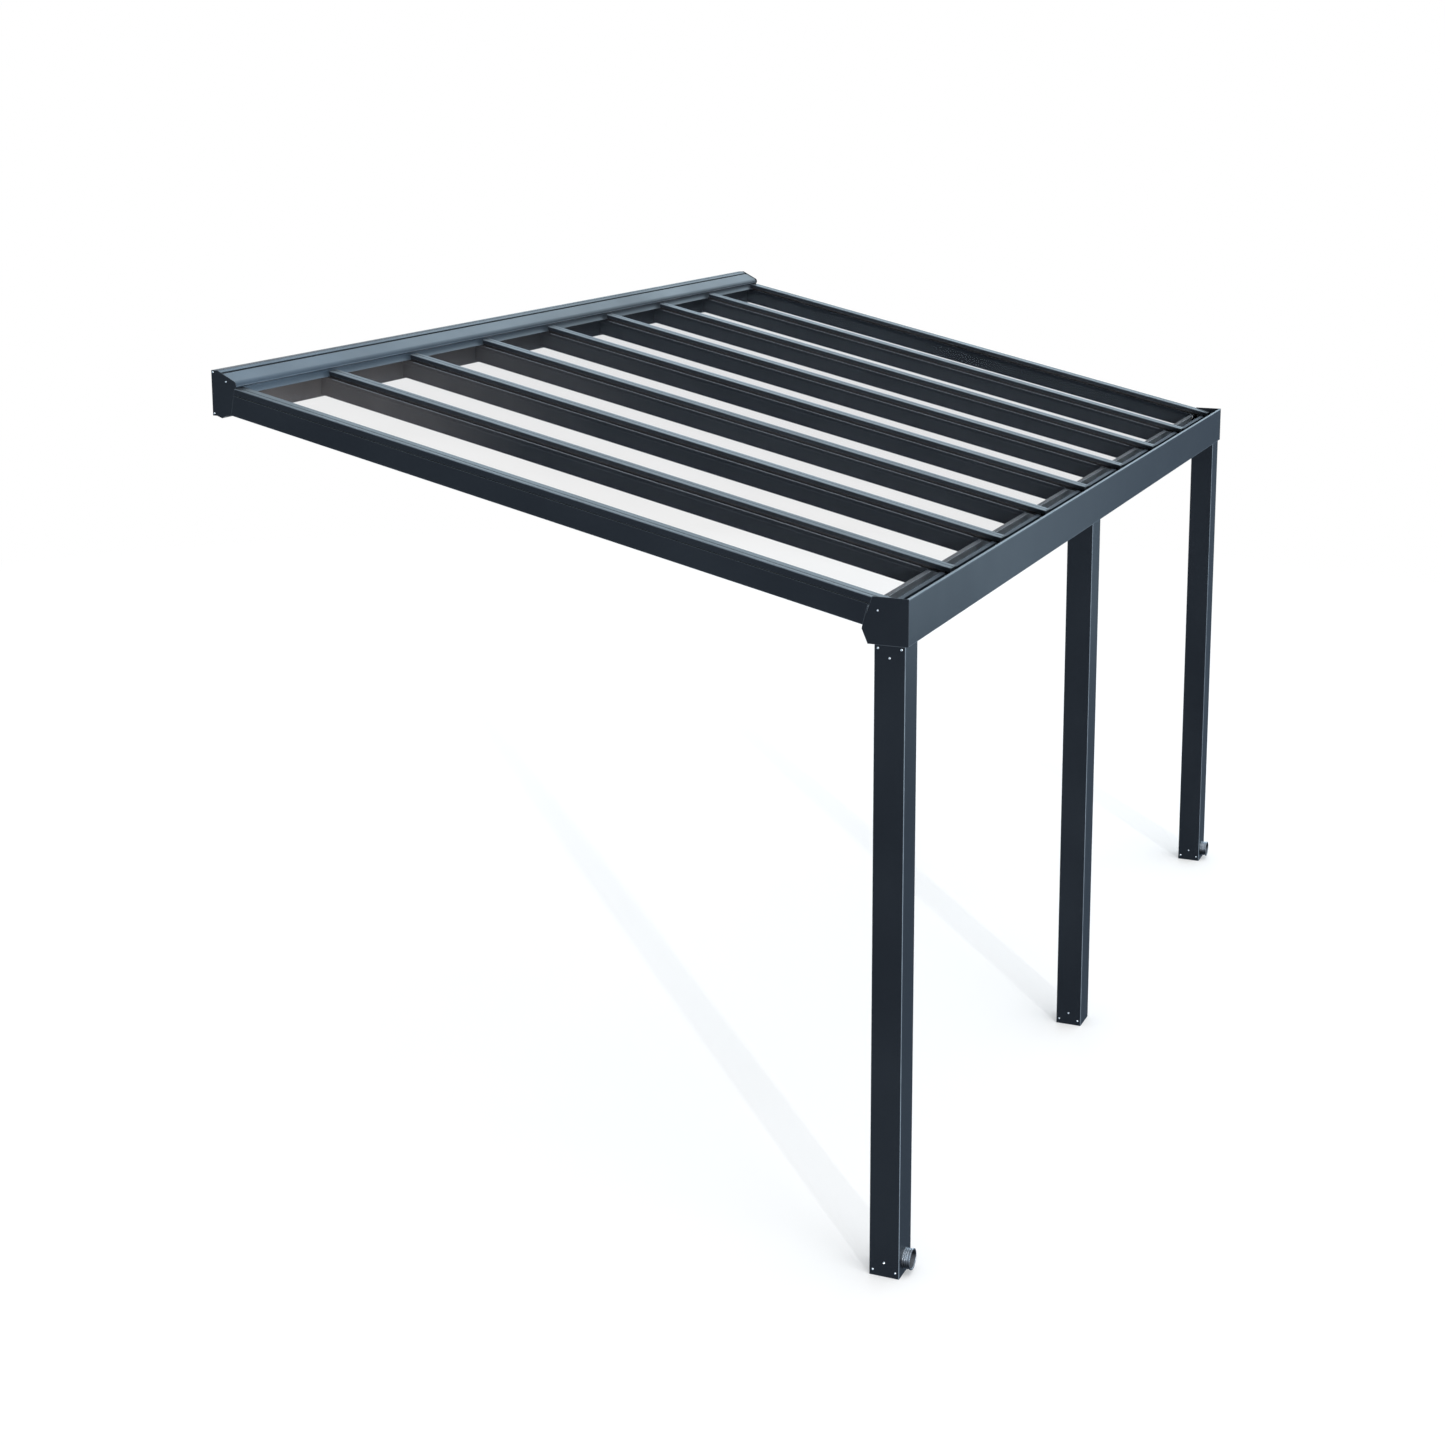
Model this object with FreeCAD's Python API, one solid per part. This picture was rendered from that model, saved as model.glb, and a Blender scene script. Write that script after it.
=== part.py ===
import FreeCAD, Part
import math
import os

# Lean-to patio cover: a wall beam and a gutter on three posts carry nine sloping
# rafters, with clear panels between them held down by snap-on caps.
# Frame: X along the wall, +Y into the wall, +Z up. The origin is on the wall beam's
# back face, at the middle of its length and height. Millimetres.

# Overall sizes
WIDTH = 4940.0
PROJECTION = 2758.0
SLOPE_DEG = 12.77
CLEAR_HEIGHT = 2285.0
BAYS = 8
SKIN = 2.5
END_PLATE_T = 3.0

# Wall beam: a narrow box against the wall with a deeper box below it, as high as a rafter's
# body and BEAM_OVER_RAFTER more
BEAM_OVER_RAFTER = 95.0
BEAM_STEM_D = 22.0
BEAM_D = 72.0
BEAM_SEAT = 98.0
DRIP_IN = 18.0
DRIP_TIP = 40.6
DRIP_OUT = 54.0
DRIP_H = 8.4
WALL_HOLE_R = 4.5
WALL_HOLE_DROP = 40.0

# Wall cover: a sloping hood with a rounded nose and a flared apron that stands on the panels
COVER_T = 2.2
COVER_START = 24.0
COVER_DROP = 1.0
COVER_PITCH_DEG = 27.45
NOSE_REACH = 105.7
NOSE_R = 20.0
CURL_DROP = 58.0
CURL_R = 2.0
NOSE_BACK = 99.0
NOSE_GAP = 0.4
COVER_GROOVE_AT = 15.5
COVER_GROOVE_W = 10.0
COVER_GROOVE_DEPTH = 12.0
WALL_PLATE_PROUD = 2.5
APRON_FLARE = 10.0
APRON_R = 32.0

# Rafters: hollow boxes with a central rib; n is measured square to the slope
RAFTER_W = 57.0
SIDE_RAFTER_W = 62.0
RAFTER_BODY_H = 76.0
RAFTER_CORNER_R = 2.0
CREASE_N = 58.0
CREASE_W = 5.0
CREASE_DEPTH = 1.6
RIB_W = 8.0
RIB_H = 17.0

# Roof panels, their seals and end trims
PANEL_T = 4.0
PANEL_GAP = 2.0
PANEL_TOP_GAP = 4.0
GASKET_H = 8.0
GASKET_W = 9.0
GASKET_INSET = 2.5
TRIM_T = 1.5
TRIM_L = 14.0
TRIM_DRIP = 12.0
TRIM_SIDE_GAP = 1.0
PANEL_END = 80.0

# Rafter caps
CAP_H = 16.0
CAP_T = 2.0
CAP_R = 2.5
CAP_GROOVE_W = 6.0
CAP_GROOVE_DEPTH = 2.2
CLIP_T = 1.5
CLIP_H = 11.0
CLIP_GAP = 0.3
CAP_END = 60.0
CAP_WALL_GAP = 2.0
SIDE_CAP_START = 80.0
SIDE_CAP_LAP = 3.0
SIDE_CAP_GROOVE = 23.0

# Gutter, in three profiles: Y from its front face, Z from its top
GUTTER_H = 163.0
GUTTER_T = 3.0
GUTTER_SEAT = 165.0
GUTTER_SEAT_DROP = 99.0
GUTTER_LEAN = 19.0
GUTTER_FLOOR_D = 146.0
GUTTER_BELLY = 3.0
GUTTER_BELLY_DROP = 112.0
GUTTER_LIP = 12.0
GUTTER_LIP_H = 12.0
GUTTER_TOE = 12.0
GUTTER_LEDGE = 16.0
GUTTER_CORNER_R = 3.0
GUTTER_PLATE_PROUD = 2.0
DRAIN_HOLE_R = 28.0

# Posts, their foot brackets and the drain spouts
POST_W = 122.5
POST_D = 111.5
POST_T = 3.0
POST_R = 2.0
POST_SETBACK = 10.0
BRACKET_T = 5.0
BRACKET_H = 72.0
BRACKET_GAP = 0.3
BRACKET_END_GAP = 1.0
ANCHOR_R = 5.5
ANCHOR_X = 64.0
SPOUT_HEIGHT = 54.0
SPOUT_L = 30.0
SPOUT_BORE_R = 32.0
SPOUT_WALL = 2.0
SPOUT_RING_R = 38.0
SPOUT_FLANGE_T = 4.0
SPOUT_LIP_T = 6.0
SPOUT_HOLE_R = 29.0

# Places worked out from the sizes above
slope = math.radians(SLOPE_DEG)
rise = math.tan(slope)
half_width = WIDTH / 2
inner_half = half_width - END_PLATE_T
beam_h = RAFTER_BODY_H + BEAM_OVER_RAFTER
beam_top = beam_h / 2
beam_low = -beam_h / 2
front = -PROJECTION
bay_clear = (WIDTH - 2 * SIDE_RAFTER_W - (BAYS - 1) * RAFTER_W) / BAYS
rib_edge = (RAFTER_W - RIB_W) / 2
panel_top_n = RAFTER_BODY_H + PANEL_T
cap_low_n = panel_top_n + GASKET_H
cap_top_n = cap_low_n + CAP_H
ledge_n = RAFTER_BODY_H - SKIN
apron_half = half_width - SIDE_RAFTER_W


def height_on_slope(y, n=0.0):
    """Z of the plane n above the rafters' undersides, at a place y."""
    return beam_low + (y + BEAM_SEAT) * rise + n / math.cos(slope)


gutter_top = height_on_slope(front + GUTTER_SEAT) + GUTTER_SEAT_DROP
gutter_low = gutter_top - GUTTER_H
ground = gutter_low - CLEAR_HEIGHT
nose_low = height_on_slope(-NOSE_BACK, cap_top_n) + NOSE_GAP
seat_low = (front + GUTTER_SEAT, height_on_slope(front + GUTTER_SEAT))
seat_high = (
    front + GUTTER_SEAT - GUTTER_LEAN,
    height_on_slope(front + GUTTER_SEAT - GUTTER_LEAN, ledge_n),
)
slope_run = (PROJECTION + BEAM_SEAT) / math.cos(slope)


# Outlines: a point is (a, b) or (a, b, radius)

def shifted(points, t, closed):
    """The path moved by t to the left of its direction, with mitred corners."""
    count = len(points)
    moved = []
    for i in range(count):
        a, b = points[i][:2]
        before = points[i - 1] if closed or i > 0 else None
        after = points[(i + 1) % count] if closed or i < count - 1 else None
        normals = []
        for start, end in ((before, points[i]), (points[i], after)):
            if start is None or end is None:
                continue
            da = end[0] - start[0]
            db = end[1] - start[1]
            run = math.hypot(da, db)
            normals.append((-db / run, da / run))
        if len(normals) == 1:
            na, nb = normals[0]
            moved.append((a + t * na, b + t * nb))
            continue
        (na, nb), (ma, mb) = normals
        share = t / (1 + na * ma + nb * mb)
        turn = na * mb - nb * ma
        radius = points[i][2] if len(points[i]) == 3 else 0.0
        if radius:
            radius = max(radius - math.copysign(t, turn), 0.0)
        moved.append((a + share * (na + ma), b + share * (nb + mb), radius))
    return moved


def outline_face(points, place):
    """A flat face from a closed outline, with its corners rounded."""
    count = len(points)
    stops = []
    for i in range(count):
        a, b = points[i][:2]
        radius = points[i][2] if len(points[i]) == 3 else 0.0
        if radius <= 0:
            stops.append((place(a, b),))
            continue
        corner = FreeCAD.Vector(a, b, 0)
        back = FreeCAD.Vector(points[i - 1][0], points[i - 1][1], 0) - corner
        ahead = FreeCAD.Vector(points[(i + 1) % count][0], points[(i + 1) % count][1], 0) - corner
        back.normalize()
        ahead.normalize()
        half = back.getAngle(ahead) / 2
        tangent = radius / math.tan(half)
        middle = back + ahead
        middle.normalize()
        start = corner + back * tangent
        end = corner + ahead * tangent
        arc_mid = corner + middle * (radius / math.sin(half) - radius)
        stops.append(tuple(place(p.x, p.y) for p in (start, arc_mid, end)))
    edges = []
    for i in range(count):
        if len(stops[i]) == 3:
            edges.append(Part.Arc(*stops[i]).toShape())
        start = stops[i][-1]
        end = stops[(i + 1) % count][0]
        edges.append(Part.makeLine(start, end))
    return Part.Face(Part.Wire(edges))


def in_yz(a, b):
    return FreeCAD.Vector(0, a, b)


def in_xz(a, b):
    return FreeCAD.Vector(a, 0, b)


def along_x(face, low, high):
    """A section in the YZ plane drawn out from X = low to X = high."""
    face.translate(FreeCAD.Vector(low, 0, 0))
    return face.extrude(FreeCAD.Vector(high - low, 0, 0))


def along_slope(face, high, low):
    """A section in the XZ plane drawn down the slope, high and low measured from the beam seat."""
    face.translate(FreeCAD.Vector(0, high, 0))
    bar = face.extrude(FreeCAD.Vector(0, low - high, 0))
    bar.rotate(FreeCAD.Vector(0, 0, 0), FreeCAD.Vector(1, 0, 0), SLOPE_DEG)
    bar.translate(FreeCAD.Vector(0, -BEAM_SEAT, beam_low))
    return bar


def rectangle(low_a, high_a, low_b, high_b, radius=0.0):
    corners = ((low_a, low_b), (high_a, low_b), (high_a, high_b), (low_a, high_b))
    return [(a, b, radius) for a, b in corners]


def box_between(low, high):
    size = FreeCAD.Vector(*high) - FreeCAD.Vector(*low)
    return Part.makeBox(size.x, size.y, size.z, FreeCAD.Vector(*low))


def mirrored(shape):
    return shape.mirror(FreeCAD.Vector(0, 0, 0), FreeCAD.Vector(1, 0, 0))


def tube_face(points, t, place):
    """A closed outline, taken anticlockwise, with a wall of thickness t and square inner corners."""
    inner = [point[:2] for point in shifted(points, t, True)]
    return outline_face(points, place).cut(outline_face(inner, place)).Faces[0]


def sheet_face(path, t, place):
    """A bent sheet of thickness t on the left of its path."""
    return outline_face(list(path) + shifted(path, t, False)[::-1], place)


def beyond(y, side):
    """Everything on one side of the upright plane at y: side is +1 or -1."""
    reach = PROJECTION + beam_h
    low = min(y, y + side * reach)
    tall = beam_h + GUTTER_H + PROJECTION * rise
    return box_between((-WIDTH, low, -tall), (WIDTH, low + reach, tall))


# Wall beam

def make_wall_beam():
    shelf_in = (-BEAM_STEM_D, height_on_slope(-BEAM_STEM_D, RAFTER_BODY_H))
    shelf_out = (-BEAM_D, height_on_slope(-BEAM_D, RAFTER_BODY_H))
    section = [
        (0, beam_low),
        (0, beam_top),
        (-BEAM_STEM_D, beam_top),
        shelf_in,
        shelf_out,
        (-BEAM_D, beam_low),
        (-DRIP_OUT, beam_low),
        (-DRIP_TIP, beam_low - DRIP_H),
        (-DRIP_IN, beam_low),
    ]
    beam = along_x(tube_face(section, SKIN, in_yz), -inner_half, inner_half)
    for x in bay_centres():
        hole = Part.makeCylinder(
            WALL_HOLE_R,
            BEAM_STEM_D,
            FreeCAD.Vector(x, 0, beam_top - WALL_HOLE_DROP),
            FreeCAD.Vector(0, -1, 0),
        )
        beam = beam.cut(hole)
    return beam


def on_cover(along, deep=0.0):
    """The point this far down the cover's slope and this deep below its outer face."""
    pitch = math.radians(COVER_PITCH_DEG)
    y = -COVER_START - along * math.cos(pitch) + deep * math.sin(pitch)
    z = beam_top - COVER_DROP - along * math.sin(pitch) - deep * math.cos(pitch)
    return (y, z)


def nose_path():
    """The hood's outer line from the end of its slope: a round nose that curls back under."""
    along = (NOSE_REACH - COVER_START) / math.cos(math.radians(COVER_PITCH_DEG))
    return [
        on_cover(along) + (NOSE_R,),
        (-NOSE_REACH, beam_top - CURL_DROP, CURL_R),
        (-NOSE_BACK, nose_low),
    ]


def cover_path():
    """The cover's outer line: slope with its groove, nose, and apron flared to 45 degrees."""
    groove_end = COVER_GROOVE_AT + COVER_GROOVE_W
    foot_y = -NOSE_BACK - APRON_FLARE
    edge = COVER_T * math.sin(math.pi / 4)
    foot_z = height_on_slope(foot_y + edge, panel_top_n) + edge
    return [
        on_cover(0),
        on_cover(COVER_GROOVE_AT),
        on_cover(COVER_GROOVE_AT, COVER_GROOVE_DEPTH),
        on_cover(groove_end, COVER_GROOVE_DEPTH),
        on_cover(groove_end),
        *nose_path(),
        (-NOSE_BACK, foot_z + APRON_FLARE, APRON_R),
        (foot_y, foot_z),
    ]


def make_wall_cover():
    """The cover lies between the end plates; beside the apron it stops above the side caps."""
    cover = along_x(sheet_face(cover_path(), COVER_T, in_yz), -inner_half, inner_half)
    hook = box_between(
        (-inner_half, -COVER_START - COVER_T, beam_top - COVER_DROP - 4 * COVER_T),
        (inner_half, -COVER_START, beam_top - COVER_DROP - COVER_T / 2),
    )
    cover = cover.fuse(hook).removeSplitter()
    for side in (-1, 1):
        low, high = sorted((side * apron_half, side * WIDTH))
        under_nose = box_between((low, -PROJECTION / 2, beam_low), (high, 0, nose_low))
        cover = cover.cut(under_nose)
    return cover


def make_wall_end_plate():
    """The left end plate: it closes the beam and stands a little proud of the cover."""
    section = [(0, beam_low), (0, beam_top), (-BEAM_STEM_D, beam_top)]
    section += shifted([on_cover(0)] + nose_path(), -WALL_PLATE_PROUD, False)
    section += [
        (-plate_edge_low(), height_on_slope(-plate_edge_low())),
        (-DRIP_OUT, beam_low),
        (-DRIP_TIP, beam_low - DRIP_H),
        (-DRIP_IN, beam_low),
    ]
    return along_x(outline_face(section, in_yz), -half_width, -inner_half)


def plate_edge_low():
    """How far from the wall the end plate's lower front corner stands."""
    return BEAM_D + 4 * SKIN


# Rafters

def rafter_places():
    """X of each inner rafter's centre, from left to right."""
    first = -half_width + SIDE_RAFTER_W + bay_clear + RAFTER_W / 2
    return [first + i * (bay_clear + RAFTER_W) for i in range(BAYS - 1)]


def bay_centres():
    first = -half_width + SIDE_RAFTER_W + bay_clear / 2
    return [first + i * (bay_clear + RAFTER_W) for i in range(BAYS)]


def rafter_bar(low_x, high_x, rib_x):
    """A hollow rafter with its rib, creased towards the bays, before its ends are cut."""
    outer = rectangle(low_x, high_x, 0, RAFTER_BODY_H)
    for i in (0, 1):
        outer[i] = outer[i][:2] + (RAFTER_CORNER_R,)
    section = tube_face(outer, SKIN, in_xz)
    rib = rectangle(rib_x - RIB_W / 2, rib_x + RIB_W / 2, RAFTER_BODY_H, RAFTER_BODY_H + RIB_H)
    body = along_slope(section, BEAM_SEAT, -slope_run)
    for side, edge in ((1, low_x), (-1, high_x)):
        if abs(edge) > apron_half:
            continue
        crease = [
            (edge, CREASE_N - CREASE_W / 2),
            (edge + side * CREASE_DEPTH, CREASE_N),
            (edge, CREASE_N + CREASE_W / 2),
        ]
        body = body.cut(along_slope(outline_face(crease, in_xz), BEAM_SEAT, -slope_run))
    rib_bar = along_slope(outline_face(rib, in_xz), BEAM_SEAT, -slope_run)
    return body, rib_bar


def cope():
    """What is cut from a rafter's lower end: all but its top skin, in front of the gutter's back."""
    lean = (seat_low[0] - seat_high[0]) / (seat_high[1] - seat_low[1])
    deep = 2 * GUTTER_H
    section = [
        seat_high,
        (seat_low[0] + lean * deep, seat_low[1] - deep),
        (front - GUTTER_SEAT, seat_low[1] - deep),
        (front - GUTTER_SEAT, height_on_slope(front - GUTTER_SEAT, ledge_n)),
    ]
    return along_x(outline_face(section, in_yz), -WIDTH, WIDTH)


def finished_rafter(low_x, high_x, rib_x, rib_start):
    body, rib = rafter_bar(low_x, high_x, rib_x)
    rib = rib.cut(beyond(-rib_start, 1))
    rafter = body.cut(beyond(-BEAM_D, 1)).cut(cope()).fuse(rib)
    return rafter.cut(beyond(front + CAP_END + CAP_T, -1)).removeSplitter()


def cap_start():
    """How far from the wall the inner rafters' caps begin, just in front of the cover's foot."""
    return NOSE_BACK + APRON_FLARE + CAP_WALL_GAP


def make_rafter(x):
    return finished_rafter(x - RAFTER_W / 2, x + RAFTER_W / 2, x, cap_start())


def side_rib_x():
    """X of the left side rafter's rib, set in from its inner face like the others."""
    return -half_width + SIDE_RAFTER_W - rib_edge - RIB_W / 2


def make_side_rafter(plates):
    rafter = finished_rafter(
        -half_width, -half_width + SIDE_RAFTER_W, side_rib_x(), SIDE_CAP_START
    )
    for plate in plates:
        rafter = rafter.cut(plate)
    return rafter


def cap_section(low_x, high_x, low_side_n, high_side_n, groove_x, rib_x):
    """A cap: an upturned channel with a V groove along its top and two clips on the rib."""
    path = [
        (high_x, high_side_n),
        (high_x, cap_top_n, CAP_R),
        (groove_x + CAP_GROOVE_W / 2, cap_top_n),
        (groove_x, cap_top_n - CAP_GROOVE_DEPTH),
        (groove_x - CAP_GROOVE_W / 2, cap_top_n),
        (low_x, cap_top_n, CAP_R),
        (low_x, low_side_n),
    ]
    section = sheet_face(path, CAP_T, in_xz)
    clip_edge = RIB_W / 2 + CLIP_GAP
    for low in (rib_x - clip_edge - CLIP_T, rib_x + clip_edge):
        clip = rectangle(low, low + CLIP_T, cap_top_n - CAP_T - CLIP_H, cap_top_n - CAP_T)
        section = section.fuse(outline_face(clip, in_xz))
    return section.removeSplitter().Faces[0]


def finished_cap(section, start):
    cap = along_slope(section, BEAM_SEAT, -slope_run)
    return cap.cut(beyond(-start, 1)).cut(beyond(front + CAP_END, -1))


def make_cap(x):
    section = cap_section(x - RAFTER_W / 2, x + RAFTER_W / 2, cap_low_n, cap_low_n, x, x)
    return finished_cap(section, cap_start())


def make_side_cap(plates):
    outer = -half_width
    section = cap_section(
        outer,
        outer + SIDE_RAFTER_W,
        RAFTER_BODY_H + SIDE_CAP_LAP,
        cap_low_n,
        outer + SIDE_CAP_GROOVE,
        side_rib_x(),
    )
    cap = finished_cap(section, SIDE_CAP_START)
    for plate in plates:
        cap = cap.cut(plate)
    return cap


# Roof panels, seals and trims

def slope_end(distance, n):
    """Place along the slope, from the beam seat, of the point at this y and n."""
    return (front + distance + BEAM_SEAT) / math.cos(slope) + n * math.tan(slope)


def panel_overlap():
    return rib_edge - PANEL_GAP


def panel_half():
    return bay_clear / 2 + panel_overlap()


def make_panel(x):
    section = rectangle(x - panel_half(), x + panel_half(), RAFTER_BODY_H, panel_top_n)
    top = (BEAM_SEAT - BEAM_STEM_D - PANEL_TOP_GAP) / math.cos(slope) + panel_top_n * math.tan(slope)
    return along_slope(outline_face(section, in_xz), top, slope_end(PANEL_END, RAFTER_BODY_H))


def make_trim(x):
    """A channel over the lower edge of a panel, between the rafters, with a drip below it."""
    half = bay_clear / 2 - TRIM_SIDE_GAP
    low_end = slope_end(PANEL_END, RAFTER_BODY_H)

    def block(low_n, high_n, high, low):
        return along_slope(outline_face(rectangle(x - half, x + half, low_n, high_n), in_xz), high, low)

    shell = block(RAFTER_BODY_H - TRIM_T, panel_top_n + TRIM_T, low_end + TRIM_L, low_end - TRIM_T)
    slot = block(RAFTER_BODY_H, panel_top_n, low_end + TRIM_L, low_end)
    drip = block(RAFTER_BODY_H - TRIM_DRIP, RAFTER_BODY_H, low_end, low_end - TRIM_T)
    return shell.cut(slot).fuse(drip).removeSplitter()


def make_gaskets():
    """The seals between panels and caps, one along each panel edge."""
    strips = []
    reach = bay_clear / 2 + GASKET_INSET
    for i, x in enumerate(bay_centres()):
        for side in (-1, 1):
            low, high = sorted((x + side * reach, x + side * (reach + GASKET_W)))
            section = outline_face(rectangle(low, high, panel_top_n, cap_low_n), in_xz)
            strip = along_slope(section, BEAM_SEAT, -slope_run)
            at_side = (i == 0 and side < 0) or (i == BAYS - 1 and side > 0)
            start = SIDE_CAP_START if at_side else cap_start()
            strips.append(strip.cut(beyond(-start, 1)).cut(beyond(front + PANEL_END + TRIM_T, -1)))
    return Part.makeCompound(strips)


# Gutter

def gutter_front_path():
    """The front profile's outer line: hooked lip, face and a toe turned in under the floor."""
    return [
        (front + GUTTER_LIP, gutter_top - GUTTER_LIP_H),
        (front + GUTTER_LIP, gutter_top, GUTTER_CORNER_R),
        (front, gutter_top, GUTTER_CORNER_R),
        (front, gutter_low, GUTTER_CORNER_R),
        (front + GUTTER_TOE, gutter_low),
    ]


def gutter_heel():
    return (front + GUTTER_FLOOR_D, gutter_low)


def gutter_belly():
    return (front + GUTTER_SEAT + GUTTER_BELLY, gutter_top - GUTTER_BELLY_DROP)


def gutter_back_path():
    """The back profile's outer line: heel, belly, leaning back and the ledge under the panels."""
    ledge_y = seat_high[0] - GUTTER_LEDGE
    return [
        gutter_heel(),
        gutter_belly() + (GUTTER_CORNER_R,),
        seat_low,
        seat_high,
        (ledge_y, height_on_slope(ledge_y, ledge_n)),
    ]


def make_gutter_front():
    return along_x(sheet_face(gutter_front_path(), GUTTER_T, in_yz), -inner_half, inner_half)


def gutter_floor_plate():
    """The floor before its outlets: from the front's toe to the back's outer line."""
    low_y, low_z = gutter_heel()
    high_y, high_z = gutter_belly()
    heel_y = low_y + GUTTER_T * (high_y - low_y) / (high_z - low_z)
    section = [
        (front + GUTTER_TOE, gutter_low),
        gutter_heel(),
        (heel_y, gutter_low + GUTTER_T),
        (front + GUTTER_TOE, gutter_low + GUTTER_T),
    ]
    return along_x(outline_face(section, in_yz), -inner_half, inner_half)


def make_gutter_floor():
    """The gutter's floor, with an outlet over each end post."""
    floor = gutter_floor_plate()
    for x in (post_places()[0], post_places()[-1]):
        hole = Part.makeCylinder(
            DRAIN_HOLE_R,
            2 * GUTTER_T,
            FreeCAD.Vector(x, post_centre_y(), gutter_low - GUTTER_T / 2),
        )
        floor = floor.cut(hole)
    return floor


def make_gutter_back():
    """The gutter's back profile, standing on the floor's rear edge."""
    back = along_x(sheet_face(gutter_back_path(), GUTTER_T, in_yz), -inner_half, inner_half)
    return back.cut(gutter_floor_plate())


def make_gutter_end_plate():
    """The left end plate of the gutter."""
    top = gutter_top + GUTTER_PLATE_PROUD
    section = [
        (front, top),
        (front, gutter_low),
        gutter_heel(),
        gutter_belly(),
        seat_low,
        (seat_high[0] - GUTTER_LEDGE, top),
    ]
    return along_x(outline_face(section, in_yz), -half_width, -inner_half)


# Posts

def post_places():
    """X of the post centres: flush with both ends, and one in the middle."""
    end = half_width - POST_W / 2
    return [-end, 0.0, end]


def post_centre_y():
    return front + POST_SETBACK + POST_D / 2


def upright(section, low, high):
    """A section drawn in X and Y, raised from low to high."""
    face = outline_face(section, lambda a, b: FreeCAD.Vector(a, b, low))
    return face.extrude(FreeCAD.Vector(0, 0, high - low))


def make_post(x, spout):
    y = post_centre_y()
    outer = rectangle(x - POST_W / 2, x + POST_W / 2, y - POST_D / 2, y + POST_D / 2, POST_R)
    inner = rectangle(
        x - POST_W / 2 + POST_T, x + POST_W / 2 - POST_T, y - POST_D / 2 + POST_T, y + POST_D / 2 - POST_T
    )
    post = upright(outer, ground, gutter_low).cut(upright(inner, ground, gutter_low))
    if spout:
        hole = Part.makeCylinder(
            SPOUT_HOLE_R,
            2 * POST_T,
            FreeCAD.Vector(x, front + POST_SETBACK - POST_T / 2, ground + SPOUT_HEIGHT),
            FreeCAD.Vector(0, 1, 0),
        )
        post = post.cut(hole)
    return post


def make_foot_bracket(x):
    """A channel inside the post's foot: its floor is anchored, its sides are screwed to the post."""
    y = post_centre_y()
    half_x = POST_W / 2 - POST_T - BRACKET_GAP
    half_y = POST_D / 2 - POST_T - BRACKET_END_GAP
    solid = box_between((x - half_x, y - half_y, ground), (x + half_x, y + half_y, ground + BRACKET_H))
    room = box_between(
        (x - half_x + BRACKET_T, y - POST_D, ground + BRACKET_T),
        (x + half_x - BRACKET_T, y + POST_D, ground + 2 * BRACKET_H),
    )
    bracket = solid.cut(room)
    for dx in (-ANCHOR_X / 2, ANCHOR_X / 2):
        hole = Part.makeCylinder(ANCHOR_R, BRACKET_T, FreeCAD.Vector(x + dx, y, ground))
        bracket = bracket.cut(hole)
    return bracket


def make_spout(x):
    """A spout turned about its own axis, with a flange, a waist and a flared lip."""
    waist = SPOUT_BORE_R + SPOUT_WALL
    section = [
        (0, SPOUT_RING_R),
        (SPOUT_FLANGE_T, SPOUT_RING_R),
        (SPOUT_FLANGE_T, waist),
        (SPOUT_L - SPOUT_LIP_T, waist),
        (SPOUT_L, SPOUT_RING_R),
        (SPOUT_L, SPOUT_BORE_R),
        (0, SPOUT_BORE_R),
    ]
    face = outline_face(section, lambda a, b: FreeCAD.Vector(0, -a, b))
    spout = face.revolve(FreeCAD.Vector(0, 0, 0), FreeCAD.Vector(0, 1, 0), 360)
    spout.translate(FreeCAD.Vector(x, front + POST_SETBACK, ground + SPOUT_HEIGHT))
    return spout


def build():
    nodes = {}
    gutter_plate = make_gutter_end_plate()
    wall_plate = make_wall_end_plate()
    plates = (gutter_plate, wall_plate)
    side_rafter = make_side_rafter(plates)
    side_cap = make_side_cap(plates)

    nodes["wall_beam"] = make_wall_beam()
    nodes["wall_cover"] = make_wall_cover()
    nodes["wall_end_plate_left"] = wall_plate
    nodes["wall_end_plate_right"] = mirrored(wall_plate)
    nodes["side_rafter_left"] = side_rafter
    nodes["side_rafter_right"] = mirrored(side_rafter)
    nodes["side_cap_left"] = side_cap
    nodes["side_cap_right"] = mirrored(side_cap)
    for i, x in enumerate(rafter_places(), start=1):
        nodes[f"rafter_{i}"] = make_rafter(x)
        nodes[f"rafter_cap_{i}"] = make_cap(x)
    for i, x in enumerate(bay_centres(), start=1):
        nodes[f"roof_panel_{i}"] = make_panel(x)
    nodes["panel_end_trims"] = Part.makeCompound([make_trim(x) for x in bay_centres()])
    nodes["panel_gaskets"] = make_gaskets()
    nodes["gutter_front"] = make_gutter_front()
    nodes["gutter_floor"] = make_gutter_floor()
    nodes["gutter_back"] = make_gutter_back()
    nodes["gutter_end_plate_left"] = gutter_plate
    nodes["gutter_end_plate_right"] = mirrored(gutter_plate)
    for name, x in zip(("left", "middle", "right"), post_places()):
        has_spout = name != "middle"
        nodes[f"post_{name}"] = make_post(x, has_spout)
        nodes[f"post_foot_{name}"] = make_foot_bracket(x)
        if has_spout:
            nodes[f"drain_spout_{name}"] = make_spout(x)
    return nodes


os.makedirs("parts", exist_ok=True)
for node_name, node_shape in build().items():
    node_shape.exportStep(f"parts/{node_name}.step")
    solids = len(node_shape.Solids)
    print(f"{node_name}: {solids} solid(s), {node_shape.Volume / 1e6:.3f} dm3, valid {node_shape.isValid()}")
print(f"gutter top {gutter_top:.1f}, ground {ground:.1f}, clear bay {bay_clear:.1f}")
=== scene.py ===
import math

import bmesh
import bpy
from mathutils import Matrix, Vector


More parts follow.
